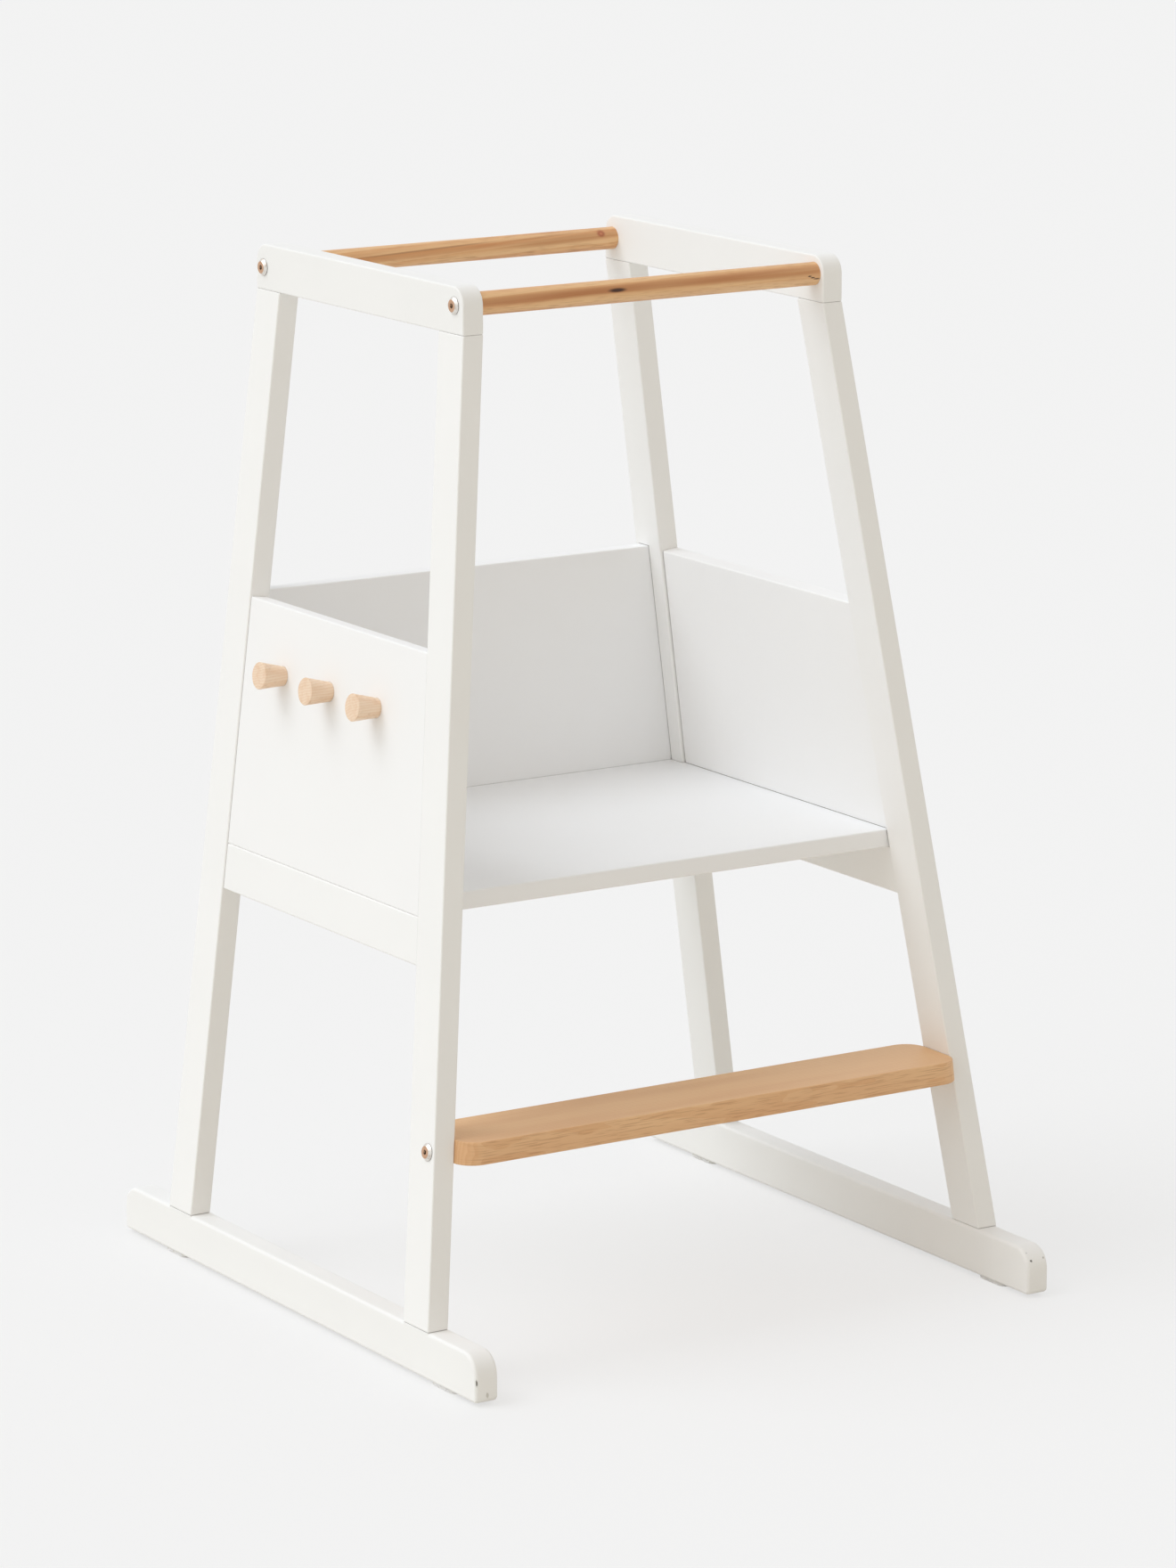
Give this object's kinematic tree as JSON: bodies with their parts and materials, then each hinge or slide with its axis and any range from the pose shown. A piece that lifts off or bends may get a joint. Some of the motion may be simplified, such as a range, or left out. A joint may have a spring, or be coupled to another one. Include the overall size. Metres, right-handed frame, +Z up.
{
  "type": "toddler kitchen helper stool",
  "caption": "Toddler's kitchen helper tower with leaning side frames, walled standing platform, front step, round grab bars and side pegs.",
  "frame": {"origin": "on the floor, at the middle of the rectangle that the two runners cover", "axes": "+Z up; the child climbs in from -Y and faces +Y; +X is to that child's right; the pegs are on the -X side"},
  "size_m": [0.584, 0.61, 0.9],
  "materials": {
    "white_painted_wood": "white satin paint",
    "oiled_beech": "clear satin oil",
    "bare_beech": "bare",
    "plated_steel": "bright plated",
    "brass": "as turned",
    "white_plastic": "translucent white"
  },
  "bodies": {
    "root": {"left_top_rail": "white_painted_wood", "left_front_leg": "white_painted_wood", "left_rear_leg": "white_painted_wood", "left_runner": "white_painted_wood", "left_side_panel": "white_painted_wood", "left_lower_rail": "white_painted_wood", "left_frame_dowels": "bare_beech", "right_top_rail": "white_painted_wood", "right_front_leg": "white_painted_wood", "right_rear_leg": "white_painted_wood", "right_runner": "white_painted_wood", "right_side_panel": "white_painted_wood", "right_lower_rail": "white_painted_wood", "right_frame_dowels": "bare_beech", "back_panel": "white_painted_wood", "platform": "white_painted_wood", "platform_dowels": "bare_beech", "front_step": "oiled_beech", "step_bolts": "plated_steel", "step_inserts": "brass", "step_pins": "bare_beech", "front_grab_bar": "oiled_beech", "rear_grab_bar": "oiled_beech", "bar_bolts": "plated_steel", "bar_inserts": "brass", "front_peg": "oiled_beech", "middle_peg": "oiled_beech", "rear_peg": "oiled_beech", "floor_glides": "white_plastic"}
  },
  "joints": []
}
